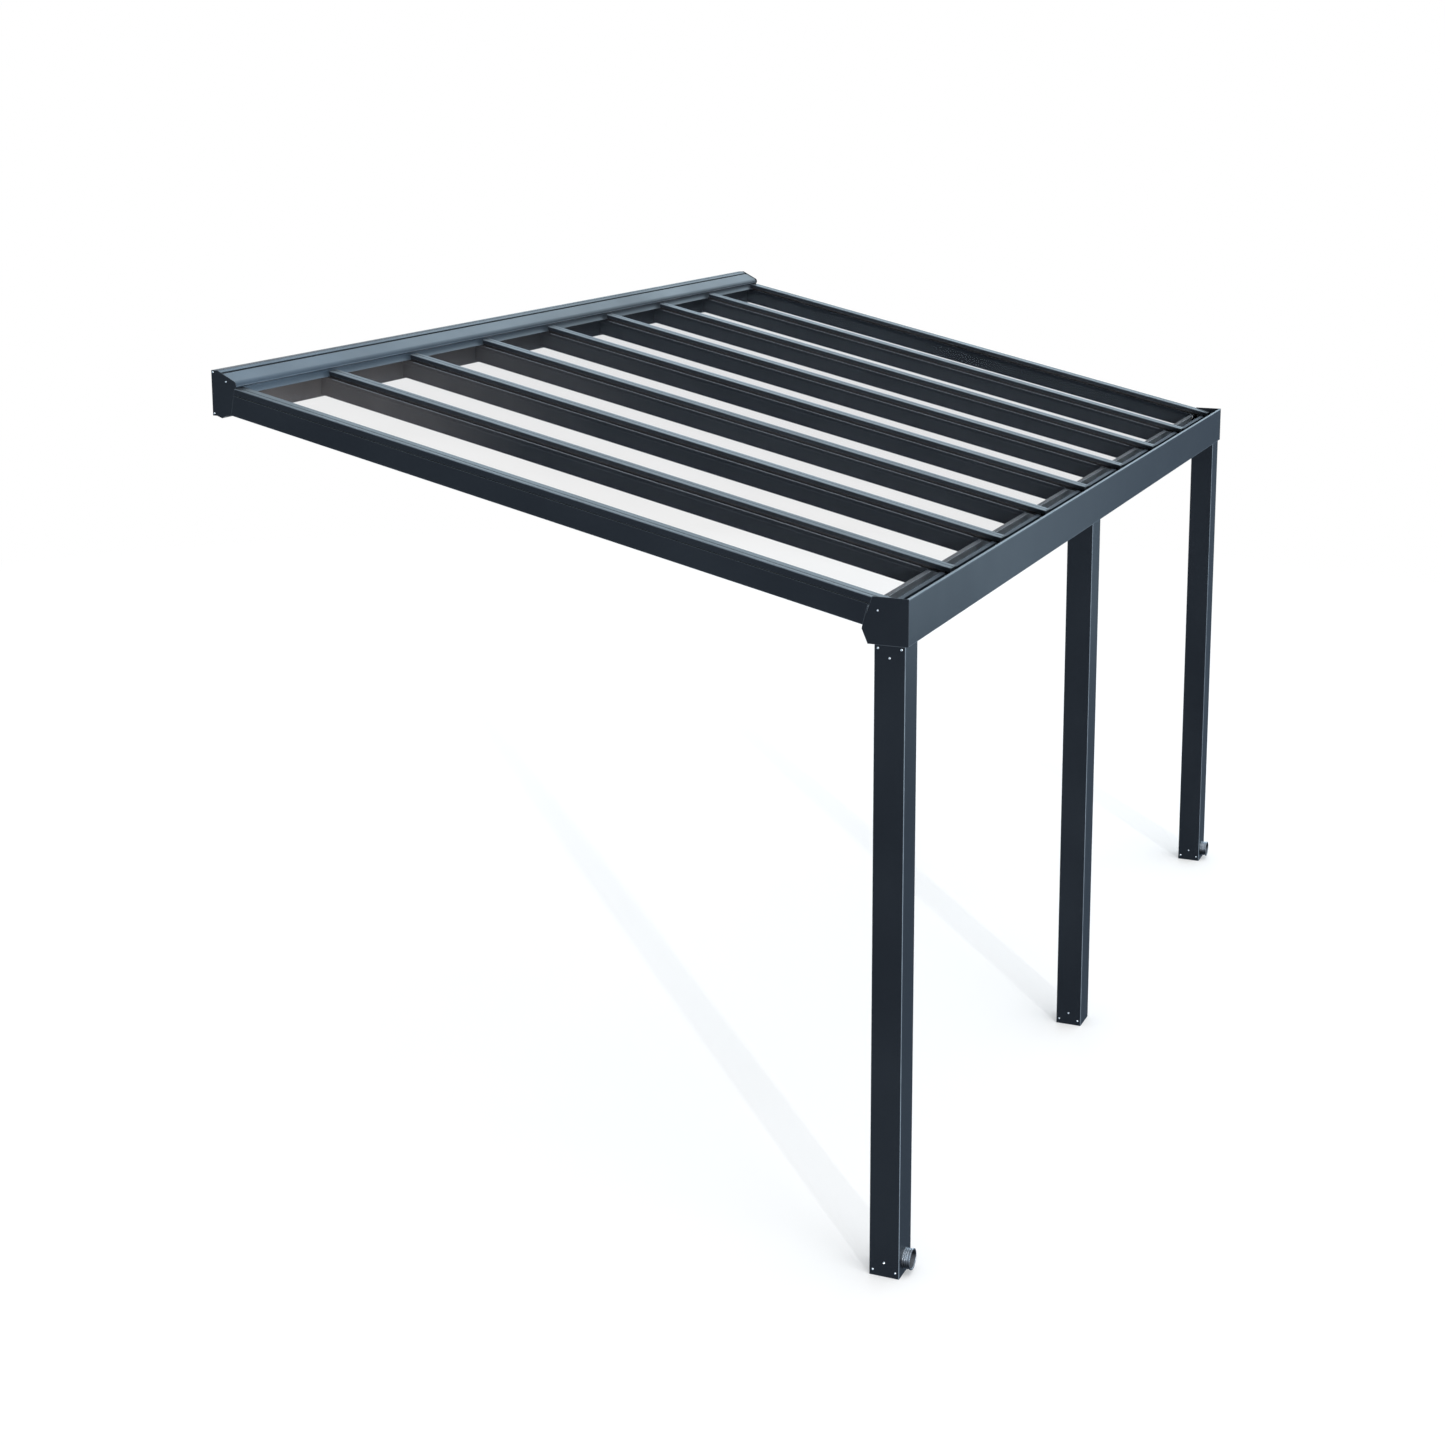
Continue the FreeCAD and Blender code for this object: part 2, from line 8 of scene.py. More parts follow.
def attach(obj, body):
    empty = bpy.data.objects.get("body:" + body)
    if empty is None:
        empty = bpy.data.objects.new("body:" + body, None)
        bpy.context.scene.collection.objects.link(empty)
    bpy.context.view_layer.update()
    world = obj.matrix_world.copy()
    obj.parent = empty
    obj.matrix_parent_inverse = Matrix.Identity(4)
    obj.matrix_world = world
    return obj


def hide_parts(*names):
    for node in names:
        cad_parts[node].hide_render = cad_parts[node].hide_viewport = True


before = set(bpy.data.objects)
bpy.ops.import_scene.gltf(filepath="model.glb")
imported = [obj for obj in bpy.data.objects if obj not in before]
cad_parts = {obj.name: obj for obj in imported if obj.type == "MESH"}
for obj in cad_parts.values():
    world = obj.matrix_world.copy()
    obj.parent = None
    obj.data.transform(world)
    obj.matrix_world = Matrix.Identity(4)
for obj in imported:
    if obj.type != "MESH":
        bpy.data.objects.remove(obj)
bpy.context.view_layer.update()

# Sizes in metres, in the frame of the CAD model. A name that ends in _N is a height above
# the rafters' lower faces, square to the roof's slope.
FRONT = -2.758
SLOPE = math.radians(12.77)
BEAM_SEAT = 0.098
BEAM_LOW = -0.0855
BEAM_TOP = 0.0855
GUTTER_TOP = -0.551976
GUTTER_LOW = -0.714976
GROUND = -2.999976
HALF_WIDTH = 2.470

RAFTER_W = 0.057
RAFTER_TOP_N = 0.076
RAFTER_PITCH = 0.609125
INNER_RAFTERS = range(-3, 4)  # counted from the middle one
SIDE_RAFTER_W = 0.062
CAP_LOW_N = 0.088
CAP_TOP_N = 0.104
CAP_END = 0.060
SIDE_CAP_W = SIDE_RAFTER_W - 0.004
SIDE_CAP_X = HALF_WIDTH - SIDE_RAFTER_W / 2 - 0.001

POST_W = 0.1225
POST_D = 0.1115
POST_FRONT = FRONT + 0.010
POST_Y = POST_FRONT + POST_D / 2
POST_X = {"left": -HALF_WIDTH + POST_W / 2, "middle": 0.0, "right": HALF_WIDTH - POST_W / 2}

# The cover's slope starts this far from the wall and this far below the beam's top
COVER_START = 0.024
COVER_DROP = 0.001
COVER_PITCH = math.radians(27.45)

# The groove in the cover, measured down its slope, and the dark cord in it, which paints the shade
# in the groove
GROOVE_AT = 0.0155
GROOVE_W = 0.010
GROOVE_DEPTH = 0.012
SHADE_CORD_BELOW = 0.0022
SHADE_CORD_END_GAP = 0.005
SHADE_CORD_SIDE_GAP = 0.0003

# The tape under the panels' long edges
TAPE_T = 0.003
TAPE_PROUD = 0.0012
TAPE_TOP_Y = -0.125
TAPE_END_Y = FRONT + 0.170

# The plugs in the lower ends of the caps
PLUG_T = 0.0024
PLUG_H = CAP_TOP_N - CAP_LOW_N + 0.004
PLUG_SLACK = 0.0006
PLUG_BELOW_TOP = 0.0003
PLUG_RIM = 0.0022
PLUG_DISH = 0.0008
PLUG_PROUD = 0.0008

# Screws: places in Y and Z on each side of a post, and on the end plates
SCREW_R = 0.0042
SCREW_H = 0.0030
PLATE_SCREW_R = 0.0036
PLATE_SCREW_H = 0.0024
WASHER_T = 0.0006
SCREW_SPREAD = 0.042
POST_SCREWS = (
    (POST_Y - SCREW_SPREAD, GUTTER_LOW - 0.0105),
    (POST_Y + SCREW_SPREAD, GUTTER_LOW - 0.0105),
    (POST_Y, GUTTER_LOW - 0.0425),
    (POST_Y - SCREW_SPREAD, GROUND + 0.022),
    (POST_Y + SCREW_SPREAD, GROUND + 0.022),
    (POST_Y, GROUND + 0.053),
)
PLATE_SCREWS = (
    (-0.008, BEAM_TOP - 0.007),
    (-0.0655, BEAM_TOP - 0.041),
    (-0.008, BEAM_TOP - 0.162),
    (FRONT + 0.110, GUTTER_TOP - 0.045),
)
# Each step of a screw's domed head: its share of the radius, and of the height it adds
HEAD_STEPS = ((1.0, 0.35), (0.94, 0.3), (0.8, 0.22), (0.62, 0.13))
SOCKET_REACH = 0.42
SOCKET_DEPTH = 0.55

# Half a spout in section: the distance out from the post, and the radius there
SPOUT_HEIGHT = 0.054
SPOUT_OUTLINE = (
    (0.0, 0.0320), (0.0, 0.0380), (0.0040, 0.0380), (0.0046, 0.0344),
    (0.0074, 0.0344), (0.0082, 0.0364), (0.0106, 0.0364), (0.0114, 0.0344),
    (0.0142, 0.0344), (0.0150, 0.0364), (0.0174, 0.0364), (0.0182, 0.0344),
    (0.0222, 0.0344), (0.0246, 0.0372), (0.0258, 0.0380), (0.0300, 0.0380),
    (0.0300, 0.0330), (0.0288, 0.0320),
)

# The camera, as solved from the straight edges in the picture; angles in degrees
LENS_MM = 57.71
LENS_SHIFT_X = -0.03463
LENS_SHIFT_Y = -0.15087
CAMERA_AT = (-9.5779, -5.2359, 1.1442)
CAMERA_DOWN = 10.358
CAMERA_TURN = -67.328

# The floor: half its width, and how far it lies under the ground line
FLOOR_HALF = 60.0
FLOOR_BELOW = 0.0005

on_slope = Matrix.Translation((0, -BEAM_SEAT, BEAM_LOW)) @ Matrix.Rotation(SLOPE, 4, "X")


def slope_run(y, n):
    """Distance along the slope, from the beam seat, of the place y at height n."""
    return (y + BEAM_SEAT) / math.cos(SLOPE) + n * math.tan(SLOPE)


def colour(red, green, blue):
    return (red, green, blue, 1.0)


# Each coat drifts between a dark and a light tone
ANTHRACITE = (colour(0.006, 0.008, 0.0115), colour(0.0085, 0.0115, 0.016))
# Painted light: the same anthracite coat painted lighter for the rafters and the wall beam, which
# stand in shade under the panels
PAINTED_LIGHTER_COAT = (colour(0.010, 0.0125, 0.017), colour(0.013, 0.016, 0.021))
# Painted light: the anthracite coat painted much lighter for the gutter's floor and back wall,
# which lie in deep shade
GUTTER_INSIDE_PAINTED_LIGHTER = (colour(0.030, 0.038, 0.048), colour(0.038, 0.047, 0.059))
# Painted light: the anthracite coat painted lighter for the panels' end trims
TRIM_PAINTED_LIGHTER = (colour(0.026, 0.034, 0.046), colour(0.032, 0.041, 0.054))
SPOUT_TONES = (colour(0.36, 0.39, 0.43), colour(0.42, 0.45, 0.49))
PLUG_TONES = (colour(0.016, 0.019, 0.025), colour(0.022, 0.026, 0.034))
RUBBER_TONES = (colour(0.008, 0.008, 0.009), colour(0.016, 0.016, 0.018))
# Painted highlight: the tape's pale grey stands for the highlight line along the rafters
TAPE_HIGHLIGHT_TONES = (colour(0.11, 0.125, 0.145), colour(0.17, 0.19, 0.215))
ZINC_TONES = (colour(0.38, 0.39, 0.40), colour(0.62, 0.63, 0.64))
STEEL_TONES = (colour(0.80, 0.81, 0.82), colour(0.92, 0.93, 0.94))
SHEET_TINTS = (colour(0.85, 0.85, 0.85), colour(0.88, 0.88, 0.88))
SHEET_EDGE_ON = colour(0.66, 0.67, 0.69)
COAT_FLECK = colour(0.060, 0.075, 0.092)
# Painted highlights on rounded edges, for the coat and for the fittings
PAINTED_EDGE_HIGHLIGHT = colour(0.24, 0.30, 0.36)
PAINTED_FITTING_HIGHLIGHT = colour(0.34, 0.37, 0.40)
GREY_DUST = colour(0.36, 0.37, 0.37)
# Painted reflection: a warm tone painted on the rafters and the beam near the wall
PAINTED_WARM_REFLECTION = colour(0.20, 0.183, 0.180)
# Painted reflection: a pale blue tone for the cover near the wall
PAINTED_BLUE_REFLECTION = colour(0.22, 0.34, 0.48)
# Painted light: a pale blue tone for the shaded inside of the gutter
PAINTED_FRONT_LIGHT = colour(0.60, 0.68, 0.76)
# Painted shade for the underside of the spout
PAINTED_UNDERSIDE_SHADE = colour(0.020, 0.024, 0.030)
WHITE = colour(1.0, 1.0, 1.0)


# Shader parts

def feed(tree, socket, value):
    """Sets a node's input to a plain value, or links it to another node's output."""
    if isinstance(value, bpy.types.NodeSocket):
        tree.links.new(value, socket)
    else:
        socket.default_value = value


def place(tree, kind, inputs=None, **settings):
    """Adds a shader node; inputs holds values or sockets by the input's name or number."""
    node = tree.nodes.new(kind)
    for key, value in settings.items():
        setattr(node, key, value)
    for key, value in (inputs or {}).items():
        feed(tree, node.inputs[key], value)
    return node


def new_group(name, inputs, outputs):
    """An empty shader group with its named inputs and outputs."""
    tree = bpy.data.node_groups.new(name, "ShaderNodeTree")
    for label, kind, value in inputs:
        socket = tree.interface.new_socket(label, in_out="INPUT", socket_type=kind)
        if value is not None:
            socket.default_value = value
    for label, kind in outputs:
        tree.interface.new_socket(label, in_out="OUTPUT", socket_type=kind)
    given = tree.nodes.new("NodeGroupInput").outputs
    result = tree.nodes.new("NodeGroupOutput").inputs
    return tree, given, result


def new_mask_group(name, amount):
    """An empty shader group that turns a place and an amount into a mask."""
    return new_group(
        name,
        [("Place", "NodeSocketVector", None), ("Amount", "NodeSocketFloat", amount)],
        [("Mask", "NodeSocketFloat")],
    )


def group(tree, made, inputs):
    """Uses a shader group in a material and returns its outputs."""
    return place(tree, "ShaderNodeGroup", inputs, node_tree=made).outputs


def ramp(tree, value, low, high, out_low=0.0, out_high=1.0):
    """A value stretched from low..high to out_low..out_high, held at both ends."""
    node = place(
        tree,
        "ShaderNodeMapRange",
        {"Value": value, "From Min": low, "From Max": high, "To Min": out_low, "To Max": out_high},
        clamp=True,
    )
    return node.outputs["Result"]


def calculate(tree, operation, a, b):
    return place(tree, "ShaderNodeMath", {0: a, 1: b}, operation=operation).outputs[0]


def multiply(tree, a, b):
    return calculate(tree, "MULTIPLY", a, b)


def add(tree, a, b):
    return calculate(tree, "ADD", a, b)


def larger(tree, a, b):
    return calculate(tree, "MAXIMUM", a, b)


def blend_colours(tree, share, first, second):
    """The first colour where the share is none, the second where it is one."""
    node = place(tree, "ShaderNodeMix", {0: share, 6: first, 7: second}, data_type="RGBA")
    return node.outputs[2]


def noise(tree, spot, scale, detail):
    """A soft random pattern between none and one."""
    made = place(tree, "ShaderNodeTexNoise", {"Vector": spot, "Scale": scale, "Detail": detail})
    return made.outputs["Fac"]


def facing_along(tree, axis):
    """How far the surface faces along an axis: one for along it, minus one for against it."""
    normal = place(tree, "ShaderNodeNewGeometry").outputs["Normal"]
    return place(tree, "ShaderNodeSeparateXYZ", {0: normal}).outputs[axis]


def seen_by_camera(tree, path):
    """One for rays from the camera, also through the panels, and none for the rest."""
    return ramp(tree, add(tree, path["Is Camera Ray"], path["Is Transmission Ray"]), 0.0, 1.0)


def mirrored_in_coat(tree, path):
    """One for rays thrown back by a shiny surface, none for those through the panels."""
    thrown = ramp(tree, path["Is Transmission Ray"], 0.0, 1.0, 1.0, 0.0)
    return multiply(tree, path["Is Glossy Ray"], thrown)


def make_coat_grain():
    """Powder coat: a fine orange peel, small flecks and a slow drift in tone."""
    tree, given, result = new_group(
        "coat grain",
        [("Place", "NodeSocketVector", None), ("Peel Scale", "NodeSocketFloat", 620.0)],
        [("Height", "NodeSocketFloat"), ("Drift", "NodeSocketFloat"), ("Fleck", "NodeSocketFloat")],
    )
    peel = noise(tree, given["Place"], given["Peel Scale"], 2.0)
    fleck = noise(tree, given["Place"], 2300.0, 1.0)
    drift = noise(tree, given["Place"], 1.7, 3.0)
    tree.links.new(peel, result["Height"])
    tree.links.new(ramp(tree, drift, 0.3, 0.7), result["Drift"])
    tree.links.new(ramp(tree, fleck, 0.58, 0.75), result["Fleck"])
    return tree


def make_settled_dust():
    """Dust on what faces up: thin all over, thicker in patches."""
    tree, given, result = new_mask_group("settled dust", 0.1)
    up = ramp(tree, facing_along(tree, "Z"), 0.55, 0.98)
    spread = ramp(tree, noise(tree, given["Place"], 9.0, 6.0), 0.35, 0.72, 0.35, 1.0)
    settled = multiply(tree, up, spread)
    tree.links.new(multiply(tree, settled, given["Amount"]), result["Mask"])
    return tree


def make_edge_highlights():
    """Painted highlights on the rounded edges, in broken lengths, found by the mark left by
    rounding.
    """
    tree, given, result = new_mask_group("edge highlights", 0.5)
    mark = place(tree, "ShaderNodeAttribute", attribute_name="rounded_edge").outputs["Fac"]
    broken_up = ramp(tree, noise(tree, given["Place"], 14.0, 5.0), 0.3, 0.65, 0.7, 1.0)
    highlit = multiply(tree, mark, broken_up)
    tree.links.new(multiply(tree, highlit, given["Amount"]), result["Mask"])
    return tree


def make_wall_reflection():
    """Painted warm reflection under the roof, strongest near the wall and towards the left end,
    none on faces that look back.
    """
    tree, given, result = new_mask_group("wall reflection", 0.5)
    split = place(tree, "ShaderNodeSeparateXYZ", {0: given["Place"]}).outputs
    to_wall = ramp(tree, split["Y"], -1.0, -0.1)
    to_left = ramp(tree, split["X"], 0.4, -2.3)
    spread = ramp(tree, noise(tree, given["Place"], 5.0, 6.0), 0.3, 0.7, 0.7, 1.0)
    not_back = ramp(tree, facing_along(tree, "Y"), 0.2, 0.6, 1.0, 0.0)
    reached = multiply(tree, multiply(tree, to_wall, to_left), not_back)
    reflected = multiply(tree, reached, spread)
    tree.links.new(multiply(tree, reflected, given["Amount"]), result["Mask"])
    return tree


coat_grain = make_coat_grain()
settled_dust = make_settled_dust()
edge_highlights = make_edge_highlights()
wall_reflection = make_wall_reflection()


# Finishes

def dress(tree, shader, **looks):
    """Gives a shader its colour, roughness and so on; an underscore stands for a space."""
    for label, value in looks.items():
        feed(tree, shader.inputs[label.replace("_", " ")], value)


def add_bump(tree, shader, height, strength, distance=0.0001):
    """Makes the surface uneven by a pattern of heights."""
    bump = place(
        tree, "ShaderNodeBump", {"Strength": strength, "Distance": distance, "Height": height}
    )
    dress(tree, shader, Normal=bump.outputs[0])


def new_finish(name, **looks):
    """A material with its Principled BSDF, the places on the piece, and plain values set."""
    material = bpy.data.materials.new(name)
    material.use_nodes = True
    tree = material.node_tree
    shader = tree.nodes["Principled BSDF"]
    dress(tree, shader, **looks)
    spot = place(tree, "ShaderNodeTexCoord").outputs["Object"]
    return material, tree, shader, spot


def make_frame_coat(
    name, tones, rough=0.34, dust=0.10, edge_highlight=0.35, near_wall=0.0, wall_tone=PAINTED_WARM_REFLECTION, front_light=0.0
):
    """Powder coat on aluminium, with painted highlights on its rounded edges, settled dust, a
    painted reflection near the wall, and painted light on faces that look to the front, inside the
    gutter.
    """
    material, tree, shader, spot = new_finish(name, Specular_IOR_Level=0.20)
    grain = group(tree, coat_grain, {"Place": spot, "Peel Scale": 620.0})
    base = blend_colours(tree, grain["Drift"], *tones)
    base = blend_colours(tree, multiply(tree, grain["Fleck"], 0.35), base, COAT_FLECK)
    # Painted highlight on the rounded edges
    highlit = group(tree, edge_highlights, {"Place": spot, "Amount": edge_highlight})["Mask"]
    base = blend_colours(tree, highlit, base, PAINTED_EDGE_HIGHLIGHT)
    dusty = group(tree, settled_dust, {"Place": spot, "Amount": dust})["Mask"]
    base = blend_colours(tree, dusty, base, GREY_DUST)
    # Painted reflection near the wall
    by_wall = group(tree, wall_reflection, {"Place": spot, "Amount": near_wall})["Mask"]
    base = blend_colours(tree, by_wall, base, wall_tone)
    # Painted light on faces that look to the front, for the gutter's back wall in its shade
    front_lit = ramp(tree, facing_along(tree, "Y"), -0.2, -0.6, 0.0, front_light)
    base = blend_colours(tree, front_lit, base, PAINTED_FRONT_LIGHT)
    roughness = ramp(tree, grain["Drift"], 0.0, 1.0, rough - 0.04, rough + 0.05)
    roughness = add(tree, roughness, multiply(tree, dusty, 0.5))
    dress(tree, shader, Base_Color=base, Roughness=roughness)
    add_bump(tree, shader, grain["Height"], 0.20)
    return material


def make_clear_sheet():
    """Clear polycarbonate: faintly grey, wavy and dusty. Light and shadow pass through it."""
    material, tree, shader, spot = new_finish(
        "clear_polycarbonate", IOR=1.005, Transmission_Weight=1.0, Specular_IOR_Level=0.5
    )
    patch = noise(tree, spot, 3.0, 4.0)
    tint = blend_colours(tree, ramp(tree, patch, 0.3, 0.7), *SHEET_TINTS)
    grazing = place(tree, "ShaderNodeLayerWeight", {"Blend": 0.5}).outputs["Facing"]
    tint = blend_colours(tree, ramp(tree, grazing, 0.72, 0.84), tint, SHEET_EDGE_ON)
    path = place(tree, "ShaderNodeLightPath").outputs
    passing = larger(tree, path["Is Shadow Ray"], path["Is Diffuse Ray"])
    dress(
        tree,
        shader,
        Base_Color=tint,
        Roughness=ramp(tree, patch, 0.3, 0.7, 0.01, 0.04),
        Alpha=ramp(tree, passing, 0.0, 1.0, 1.0, 0.10),
    )
    add_bump(tree, shader, noise(tree, spot, 6.0, 1.0), 0.05, 0.002)
    return material


def make_rubber(name, sheen):
    """Black rubber with a fine grain and a given sheen; the groove's cord has hardly any, to keep
    its painted shade dark.
    """
    material, tree, shader, spot = new_finish(name, Specular_IOR_Level=sheen)
    grain = group(tree, coat_grain, {"Place": spot, "Peel Scale": 1800.0})
    tone = blend_colours(tree, grain["Drift"], *RUBBER_TONES)
    roughness = ramp(tree, grain["Fleck"], 0.0, 1.0, 0.34, 0.48)
    dress(tree, shader, Base_Color=tone, Roughness=roughness)
    add_bump(tree, shader, grain["Height"], 0.15)
    return material


def make_highlight_seating_tape():
    """Grey foam tape with fine pores, under the panels' long edges, pale enough to paint the
    highlight line along each rafter's upper edge.
    """
    material, tree, shader, spot = new_finish(
        "highlight_seating_tape", Specular_IOR_Level=0.3, Roughness=0.7
    )
    pores = noise(tree, spot, 900.0, 2.0)
    tone = blend_colours(tree, ramp(tree, pores, 0.35, 0.65), *TAPE_HIGHLIGHT_TONES)
    dress(tree, shader, Base_Color=tone)
    add_bump(tree, shader, pores, 0.3, 0.0002)
    return material


def make_bracket_zinc():
    """Galvanised steel with its spangle."""
    material, tree, shader, spot = new_finish("bracket_zinc", Metallic=0.9)
    cells = place(tree, "ShaderNodeTexVoronoi", {"Vector": spot, "Scale": 160.0})
    split = place(tree, "ShaderNodeSeparateColor", {0: cells.outputs["Color"]}).outputs
    tone = blend_colours(tree, split[0], *ZINC_TONES)
    dress(tree, shader, Base_Color=tone, Roughness=ramp(tree, split[1], 0.0, 1.0, 0.3, 0.5))
    add_bump(tree, shader, split[2], 0.2, 0.0002)
    return material


def make_screw_steel():
    """Bright steel with fine scratches."""
    material, tree, shader, spot = new_finish("screw_steel", Metallic=1.0)
    scratch = noise(tree, spot, 1400.0, 3.0)
    tone = blend_colours(tree, ramp(tree, scratch, 0.35, 0.7), *STEEL_TONES)
    dress(tree, shader, Base_Color=tone, Roughness=ramp(tree, scratch, 0.3, 0.7, 0.18, 0.36))
    add_bump(tree, shader, scratch, 0.2)
    return material


def make_fitting(name, tones, rough, metallic=0.0, underside_shade=0.0):
    """A moulded plug, or a cast spout painted darker towards the bottom as shade."""
    material, tree, shader, spot = new_finish(name, Specular_IOR_Level=0.45, Metallic=metallic)
    grain = group(tree, coat_grain, {"Place": spot, "Peel Scale": 1100.0})
    tone = blend_colours(tree, grain["Drift"], *tones)
    # Painted highlight on the rounded edges
    highlit = group(tree, edge_highlights, {"Place": spot, "Amount": 0.25})["Mask"]
    tone = blend_colours(tree, highlit, tone, PAINTED_FITTING_HIGHLIGHT)
    dusty = group(tree, settled_dust, {"Place": spot, "Amount": 0.12})["Mask"]
    tone = blend_colours(tree, dusty, tone, GREY_DUST)
    # Painted shade: darker on faces that look down, fading out on faces that look up
    under = ramp(tree, facing_along(tree, "Z"), -0.25, 0.6, underside_shade, 0.0)
    tone = blend_colours(tree, under, tone, PAINTED_UNDERSIDE_SHADE)
    roughness = ramp(tree, grain["Fleck"], 0.0, 1.0, rough, rough + 0.08)
    dress(tree, shader, Base_Color=tone, Roughness=roughness)
    add_bump(tree, shader, grain["Height"], 0.2)
    return material


frame_coat = make_frame_coat("frame_coat", ANTHRACITE)
# The cover near the wall, towards its left end, carries a painted pale blue reflection
cover_coat = make_frame_coat("cover_coat", ANTHRACITE, near_wall=0.16, wall_tone=PAINTED_BLUE_REFLECTION)
gutter_face_coat = make_frame_coat("gutter_face_coat", ANTHRACITE, dust=0.01)
# The rafters and the beam take the coat painted lighter for their shade, and a painted warm
# reflection near the wall
rafter_coat = make_frame_coat("rafter_coat", PAINTED_LIGHTER_COAT, 0.42, dust=0.05, near_wall=0.42)
beam_coat = make_frame_coat("beam_coat", PAINTED_LIGHTER_COAT, 0.42, near_wall=0.50)
# The gutter's floor and back wall: the coat painted lighter, and a pale tone painted on faces that
# look to the front, both painted light
gutter_coat = make_frame_coat("gutter_coat", GUTTER_INSIDE_PAINTED_LIGHTER, 0.40, front_light=1.0)
# The posts carry a stronger painted highlight on their left and front corners
post_coat = make_frame_coat("post_coat", ANTHRACITE, edge_highlight=0.55)
plate_coat = make_frame_coat("plate_coat", ANTHRACITE, edge_highlight=0.08)
# The trims: the coat painted lighter, with a strong painted highlight on their rounded edges
trim_coat = make_frame_coat("trim_coat", TRIM_PAINTED_LIGHTER, 0.62, dust=0.03, edge_highlight=0.7)
clear_sheet = make_clear_sheet()
seal_rubber = make_rubber("seal_rubber", 0.3)
shade_cord_rubber = make_rubber("shade_cord_rubber", 0.01)
highlight_seating_tape = make_highlight_seating_tape()
bracket_zinc = make_bracket_zinc()
screw_steel = make_screw_steel()
spout_metal = make_fitting("spout_metal", SPOUT_TONES, 0.30, metallic=0.80, underside_shade=0.97)
plug_plastic = make_fitting("plug_plastic", PLUG_TONES, 0.38)


# Making pieces

def add_object(name, data):
    """Puts a mesh, a lamp or a camera into the scene."""
    thing = bpy.data.objects.new(name, data)
    bpy.context.scene.collection.objects.link(thing)
    return thing


def to_mesh(name, bm, finish):
    """Turns a bmesh into a mesh with one material."""
    mesh = bpy.data.meshes.new(name)
    bm.to_mesh(mesh)
    bm.free()
    mesh.materials.append(finish)
    return mesh


def finished(name, bm, finish, stands_for=()):
    """Turns a bmesh into a piece that rides on the cover, smooth across its rounded edges."""
    mesh = to_mesh(name, bm, finish)
    mesh.polygons.foreach_set("use_smooth", [True] * len(mesh.polygons))
    mesh.set_sharp_from_angle(angle=math.radians(50))
    piece = add_object(name, mesh)
    weighted = piece.modifiers.new("even shading", "WEIGHTED_NORMAL")
    weighted.keep_sharp = True
    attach(piece, "root")
    if stands_for:
        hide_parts(*stands_for)
    return piece


def edge_marks(bm):
    """The layer by which a finish finds the rounded edges."""
    layers = bm.faces.layers.float
    return layers.get("rounded_edge") or layers.new("rounded_edge")


def round_edges(bm, width, steps, least_turn=35):
    """Rounds and marks the edges that turn by more than this many degrees."""
    marks = edge_marks(bm)
    sharp = [
        edge
        for edge in bm.edges
        if len(edge.link_faces) == 2 and edge.calc_face_angle() > math.radians(least_turn)
    ]
    made = bmesh.ops.bevel(
        bm, geom=sharp, offset=width, affect="EDGES", segments=steps, profile=0.5, material=-1
    )
    for face in made["faces"]:
        face[marks] = 0.5


def mark_narrow_faces(bm, widest=0.0018):
    """Marks the strips that already round a corner for the painted edge highlight, apart from those
    that face right or back, away from the light.
    """
    marks = edge_marks(bm)
    for face in bm.faces:
        longest = max(edge.calc_length() for edge in face.edges)
        to_right_or_back = max(face.normal.x, face.normal.y)
        if to_right_or_back < 0.1 and face.calc_area() < widest * longest:
            face[marks] = 1.0


def rounded_node(node, width, steps, finish):
    """A copy of a CAD node with its edges rounded, which stands for the node."""
    bm = bmesh.new()
    bm.from_mesh(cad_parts[node].data)
    bmesh.ops.remove_doubles(bm, verts=bm.verts, dist=0.00001)
    bmesh.ops.dissolve_limit(bm, angle_limit=math.radians(1), verts=bm.verts, edges=bm.edges)
    mark_narrow_faces(bm)
    round_edges(bm, width, steps)
    return finished(node + "_coated", bm, finish, (node,))


def add_copy(bm, source, turn):
    """Adds a copy of a small bmesh, turned and moved into place."""
    mesh = bpy.data.meshes.new("copy")
    source.to_mesh(mesh)
    mesh.transform(turn)
    bm.from_mesh(mesh)
    bpy.data.meshes.remove(mesh)


def add_box(bm, size, middle=(0, 0, 0)):
    """Adds a box of this size around this middle."""
    corners = bmesh.ops.create_cube(bm, size=1.0)["verts"]
    bmesh.ops.scale(bm, vec=size, verts=corners)
    bmesh.ops.translate(bm, vec=middle, verts=corners)


# Coated profiles: the nodes, the width and the steps of their rounding, and their finish

COATED = (
    (["side_rafter_left", "side_rafter_right"], 0.0007, 2, frame_coat),
    ([f"rafter_{i}" for i in range(1, 8)], 0.0007, 2, rafter_coat),
    (["side_cap_left", "side_cap_right"], 0.0006, 2, frame_coat),
    ([f"rafter_cap_{i}" for i in range(1, 8)], 0.0006, 2, frame_coat),
    (["wall_cover"], 0.0005, 2, cover_coat),
    (["gutter_front"], 0.0005, 2, gutter_face_coat),
    (["wall_beam"], 0.0005, 2, beam_coat),
    (["gutter_floor", "gutter_back"], 0.0005, 2, gutter_coat),
    (["panel_end_trims"], 0.0005, 2, trim_coat),
    (["wall_end_plate_left", "wall_end_plate_right"], 0.0011, 3, plate_coat),
    (["gutter_end_plate_left", "gutter_end_plate_right"], 0.0011, 3, plate_coat),
)
for nodes, width, steps, finish in COATED:
    for node in nodes:
        rounded_node(node, width, steps, finish)
for side in POST_X:
    rounded_node(f"post_{side}", 0.0008, 2, post_coat)
    rounded_node(f"post_foot_{side}", 0.0008, 2, bracket_zinc)
rounded_node("panel_gaskets", 0.0018, 3, seal_rubber)
for i in range(1, 9):
    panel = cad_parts[f"roof_panel_{i}"]
    panel.data.materials.clear()
    panel.data.materials.append(clear_sheet)


# Tape between the rafters and the panels

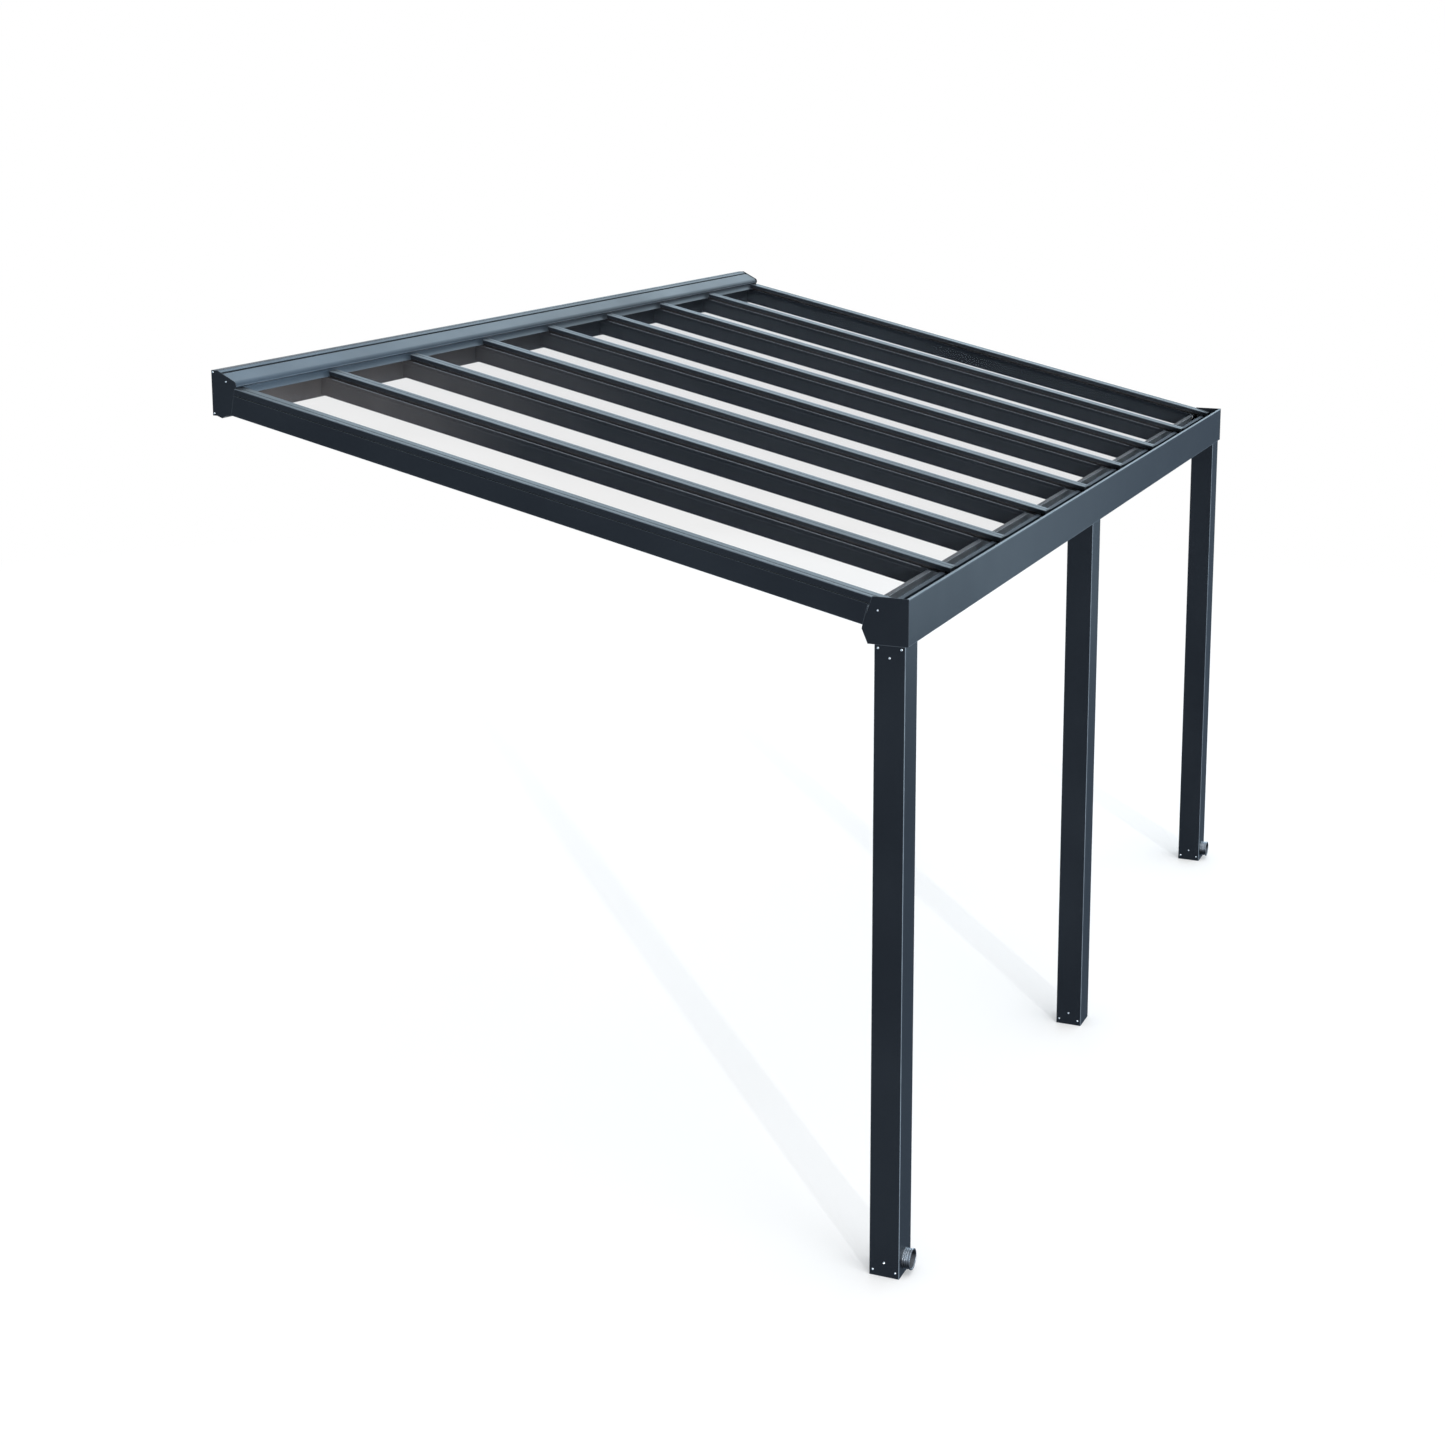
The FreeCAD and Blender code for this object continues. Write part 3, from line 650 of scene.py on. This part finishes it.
def make_tapes():
    """A strip along each rafter's upper corner that shows a little beside the rafter, as a painted
    highlight line.
    """
    bm = bmesh.new()
    high = slope_run(TAPE_TOP_Y, RAFTER_TOP_N)
    low = slope_run(TAPE_END_Y, RAFTER_TOP_N)
    for i in INNER_RAFTERS:
        for side in (-1, 1):
            x = i * RAFTER_PITCH + side * (RAFTER_W + TAPE_PROUD) / 2
            middle = (x, (low + high) / 2, RAFTER_TOP_N - TAPE_T / 2)
            add_box(bm, (TAPE_PROUD, high - low, TAPE_T), middle)
    round_edges(bm, 0.0004, 2)
    bm.transform(on_slope)
    return finished("panel_highlight_tapes", bm, highlight_seating_tape)


make_tapes()


# Dark cord in the cover's groove, as painted shade

def on_cover(along, deep):
    """The place this far down the cover's slope and this deep below its outer face."""
    y = -COVER_START - along * math.cos(COVER_PITCH) + deep * math.sin(COVER_PITCH)
    z = BEAM_TOP - COVER_DROP - along * math.sin(COVER_PITCH) - deep * math.cos(COVER_PITCH)
    return Vector((0, y, z))


def make_groove_shade_cord():
    """A black rubber cord that lies in the groove, with a rounded top, which also paints the
    groove's shade.
    """
    bm = bmesh.new()
    tall = GROOVE_DEPTH - SHADE_CORD_BELOW
    add_box(bm, (2 * (HALF_WIDTH - SHADE_CORD_END_GAP), GROOVE_W - 2 * SHADE_CORD_SIDE_GAP, tall))
    round_edges(bm, 0.0012, 3)
    middle = on_cover(GROOVE_AT + GROOVE_W / 2, GROOVE_DEPTH - tall / 2)
    bm.transform(Matrix.Translation(middle) @ Matrix.Rotation(COVER_PITCH, 4, "X"))
    return finished("cover_shade_cord", bm, shade_cord_rubber)


make_groove_shade_cord()


# Screws

def extruded(bm, face):
    """The new face that a face becomes when it is extruded."""
    return bmesh.ops.extrude_discrete_faces(bm, faces=[face])["faces"][0]


def make_screw_head(radius, height):
    """A domed head with a hexagon socket, standing on Z = 0."""
    bm = bmesh.new()
    bmesh.ops.create_circle(bm, cap_ends=True, segments=24, radius=radius)
    top = bm.faces[:][0]
    for share, rise in HEAD_STEPS:
        top = extruded(bm, top)
        for vert in top.verts:
            flat = Vector((vert.co.x, vert.co.y, 0)).normalized() * radius * share
            vert.co = Vector((flat.x, flat.y, vert.co.z + rise * height))
    socket = extruded(bm, top)
    for vert in socket.verts:
        angle = math.atan2(vert.co.y, vert.co.x)
        off_flat = (angle + math.radians(30)) % math.radians(60) - math.radians(30)
        reach = SOCKET_REACH * radius / math.cos(off_flat)
        vert.co = Vector((math.cos(angle) * reach, math.sin(angle) * reach, vert.co.z))
    bottom = extruded(bm, socket)
    bmesh.ops.translate(bm, verts=bottom.verts, vec=(0, 0, -SOCKET_DEPTH * height))
    bmesh.ops.remove_doubles(bm, verts=bm.verts, dist=0.000001)
    bmesh.ops.recalc_face_normals(bm, faces=bm.faces)
    return bm


def make_shade_washer(radius, height):
    """A flat black sealing washer, standing on Z = 0, which also paints the shade ring round a
    screw head.
    """
    bm = bmesh.new()
    bmesh.ops.create_cone(
        bm, cap_ends=True, segments=24, radius1=radius, radius2=0.92 * radius, depth=height
    )
    bmesh.ops.translate(bm, vec=(0, 0, height / 2), verts=bm.verts)
    return bm


def screws(name, places, radius, height):
    """Screws with black sealing washers under their heads, which paint the shade ring round each
    head, on faces to the left or right.
    """
    head = make_screw_head(radius, height)
    shade_washer = make_shade_washer(1.4 * radius, WASHER_T)
    heads = bmesh.new()
    shade_washers = bmesh.new()
    for spot, side in places:
        turn = Matrix.Translation(spot) @ Matrix.Rotation(side * math.radians(90), 4, "Y")
        add_copy(heads, head, turn @ Matrix.Translation((0, 0, WASHER_T)))
        add_copy(shade_washers, shade_washer, turn)
    head.free()
    shade_washer.free()
    finished(name, heads, screw_steel)
    finished(name + "_washers", shade_washers, seal_rubber)


def make_screws():
    """The screws of the posts and of the end plates."""
    for label, x in POST_X.items():
        places = [
            ((x + side * POST_W / 2, y, z), side) for side in (-1, 1) for y, z in POST_SCREWS
        ]
        screws(f"post_screws_{label}", places, SCREW_R, SCREW_H)
    for label, side in (("left", -1), ("right", 1)):
        places = [((side * HALF_WIDTH, y, z), side) for y, z in PLATE_SCREWS]
        screws(f"plate_screws_{label}", places, PLATE_SCREW_R, PLATE_SCREW_H)


make_screws()


# Plugs in the lower ends of the caps

def make_cap_plug(width):
    """A plug that fills a cap's end, dished inside a raised rim."""
    bm = bmesh.new()
    middle = (0, 0, CAP_TOP_N - PLUG_H / 2 - PLUG_BELOW_TOP)
    add_box(bm, (width - PLUG_SLACK, PLUG_T, PLUG_H), middle)
    outer = [face for face in bm.faces if face.normal.y < -0.9]
    bmesh.ops.inset_individual(bm, faces=outer, thickness=PLUG_RIM)
    bmesh.ops.translate(bm, vec=(0, PLUG_DISH, 0), verts=outer[0].verts)
    round_edges(bm, 0.0005, 2)
    return bm


def make_plugs():
    """A plug in every cap, a little proud of the cap's end."""
    bm = bmesh.new()
    along = slope_run(FRONT + CAP_END, (CAP_LOW_N + CAP_TOP_N) / 2) - PLUG_PROUD
    caps = [(i * RAFTER_PITCH, RAFTER_W) for i in INNER_RAFTERS]
    caps += [(side * SIDE_CAP_X, SIDE_CAP_W) for side in (-1, 1)]
    for x, width in caps:
        plug = make_cap_plug(width)
        add_copy(bm, plug, on_slope @ Matrix.Translation((x, along, 0)))
        plug.free()
    return finished("cap_plugs", bm, plug_plastic)


make_plugs()


# Drain spouts

def make_spout(side):
    """A cast spout turned from its outline: flange, two ribs, waist and a wide lip."""
    bm = bmesh.new()
    ring = [bm.verts.new((0, -out, across)) for out, across in SPOUT_OUTLINE]
    edges = [bm.edges.new(pair) for pair in zip(ring, ring[1:] + ring[:1])]
    bmesh.ops.spin(
        bm,
        geom=ring + edges,
        cent=(0, 0, 0),
        axis=(0, 1, 0),
        angle=math.tau,
        steps=72,
        use_merge=True,
    )
    bmesh.ops.remove_doubles(bm, verts=bm.verts, dist=0.000001)
    bmesh.ops.recalc_face_normals(bm, faces=bm.faces)
    round_edges(bm, 0.0005, 2, least_turn=28)
    foot = (POST_X[side], POST_FRONT, GROUND + SPOUT_HEIGHT)
    bmesh.ops.translate(bm, vec=foot, verts=bm.verts)
    return finished(f"spout_{side}", bm, spout_metal, (f"drain_spout_{side}",))


for side in ("left", "right"):
    make_spout(side)


# Floor, backdrop and light

def make_floor():
    """A pale floor that keeps the cover's shadow and fades to plain white away from it."""
    material = bpy.data.materials.new("floor")
    material.use_nodes = True
    tree = material.node_tree
    tree.nodes.clear()
    path = place(tree, "ShaderNodeLightPath").outputs
    seen = seen_by_camera(tree, path)
    mirrored = mirrored_in_coat(tree, path)
    spot = place(tree, "ShaderNodeTexCoord").outputs["Object"]
    away = place(tree, "ShaderNodeVectorMath", {0: spot}, operation="LENGTH").outputs["Value"]
    pale = blend_colours(tree, seen, colour(0.95, 0.95, 0.95), colour(0.925, 0.925, 0.925))
    plain = place(tree, "ShaderNodeBsdfDiffuse", {"Color": pale})
    tone = blend_colours(tree, mirrored, WHITE, colour(0.19, 0.26, 0.35))
    bright = place(tree, "ShaderNodeEmission", {"Color": tone, "Strength": 1.0})
    white = multiply(tree, seen, ramp(tree, away, 5.0, 11.0, 0.20, 1.0))
    share = larger(tree, white, mirrored)
    mixed = place(
        tree, "ShaderNodeMixShader", {0: share, 1: plain.outputs[0], 2: bright.outputs[0]}
    )
    place(tree, "ShaderNodeOutputMaterial", {"Surface": mixed.outputs[0]})
    bm = bmesh.new()
    bmesh.ops.create_grid(bm, x_segments=1, y_segments=1, size=FLOOR_HALF)
    bmesh.ops.translate(bm, vec=(0, 0, GROUND - FLOOR_BELOW), verts=bm.verts)
    floor = add_object("floor", to_mesh("floor", bm, material))


def make_world():
    """White behind the cover; a plain cool light from all round."""
    world = bpy.data.worlds.new("studio")
    bpy.context.scene.world = world
    world.use_nodes = True
    tree = world.node_tree
    tree.nodes.clear()
    path = place(tree, "ShaderNodeLightPath").outputs
    seen = seen_by_camera(tree, path)
    mirrored = mirrored_in_coat(tree, path)
    light = blend_colours(tree, mirrored, colour(0.66, 0.665, 0.67), colour(0.68, 0.85, 1.00))
    tone = blend_colours(tree, seen, light, WHITE)
    sky = place(tree, "ShaderNodeBackground", {"Color": tone, "Strength": 1.0})
    place(tree, "ShaderNodeOutputWorld", {"Surface": sky.outputs[0]})


def pointed(direction):
    """The turn that points a lamp this way."""
    return Vector(direction).to_track_quat("-Z", "Y").to_euler()


def sun(name, strength, spread, toward, tone):
    """A far light that shines this way; its spread, in degrees, softens its shadows."""
    lamp = bpy.data.lights.new(name, "SUN")
    lamp.energy = strength
    lamp.angle = math.radians(spread)
    lamp.color = tone
    add_object(name, lamp).rotation_euler = pointed(toward)


def soft_panel(name, stands_at, aim, wide, tall, radiance, tone):
    """A studio panel that lights and mirrors in the coat but stays out of the picture."""
    lamp = bpy.data.lights.new(name, "AREA")
    lamp.shape = "RECTANGLE"
    lamp.size = wide
    lamp.size_y = tall
    lamp.energy = radiance * math.pi * wide * tall
    lamp.color = tone
    thing = add_object(name, lamp)
    thing.location = stands_at
    thing.rotation_euler = pointed(Vector(aim) - Vector(stands_at))
    thing.visible_camera = False
    thing.visible_transmission = False


def make_camera():
    """The camera that sees the cover as the picture shows it."""
    lens = bpy.data.cameras.new("camera")
    lens.sensor_width = 36.0
    lens.lens = LENS_MM
    lens.shift_x = LENS_SHIFT_X
    lens.shift_y = LENS_SHIFT_Y
    lens.clip_end = 300.0
    camera = add_object("camera", lens)
    camera.location = CAMERA_AT
    camera.rotation_euler = (math.radians(90 - CAMERA_DOWN), 0, math.radians(CAMERA_TURN))
    bpy.context.scene.camera = camera


# Name, strength, spread, direction and tone
SUNS = (
    ("overhead", 1.05, 50, (0.15, 0.3, -1.0), (0.96, 0.98, 1.0)),
    ("front_left_low", 2.2, 0.8, (0.76, 0.65, -0.13), (1.0, 1.0, 1.0)),
)
# Name, place, aim, width, height, brightness and tone
SOFT_PANELS = (
    ("right_high", (25.0, 1.0, 11.0), (0.0, -1.2, -0.2), 28.0, 16.0, 1.95, (0.68, 0.87, 1.0)),
    ("front_right", (5.0, -6.4, -1.2), (-1.5, -2.7, -0.6), 2.8, 3.0, 1.9, (0.63, 0.84, 1.0)),
    ("front_left", (-4.5, -7.5, -1.5), (-1.0, -2.7, -1.3), 3.0, 3.0, 4.0, (0.92, 0.97, 1.0)),
)
make_floor()
make_world()
for numbers in SUNS:
    sun(*numbers)
for numbers in SOFT_PANELS:
    soft_panel(*numbers)
make_camera()
bpy.context.scene.view_settings.view_transform = "Standard"
